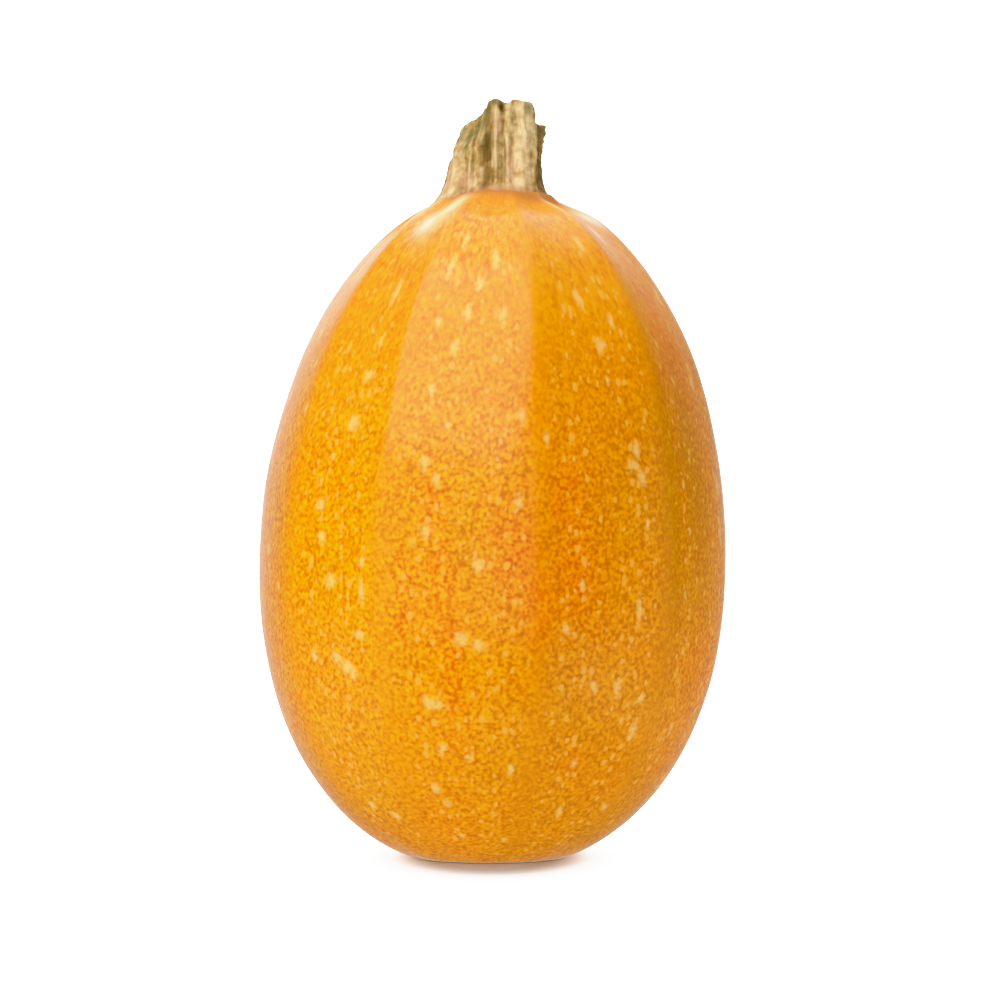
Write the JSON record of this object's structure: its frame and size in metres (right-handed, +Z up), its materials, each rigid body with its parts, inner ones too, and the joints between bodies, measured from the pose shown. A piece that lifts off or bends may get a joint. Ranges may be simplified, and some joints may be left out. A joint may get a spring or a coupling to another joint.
{
  "type": "spaghetti squash",
  "caption": "Whole ripe spaghetti squash standing on its blossom end, with shallow ribs, speckled orange rind and a dried ridged stem.",
  "frame": {"origin": "middle of the small flat foot that the fruit stands on, under the middle of its widest part", "axes": "+Z up, from the blossom end to the stem; -Y towards the side that shows in the picture; +X to that view's right"},
  "size_m": [0.1478, 0.1465, 0.2394],
  "materials": {
    "rind": "satin",
    "dried_stem": "matte"
  },
  "bodies": {
    "root": {"fruit": "rind", "stem": "dried_stem"}
  },
  "joints": []
}
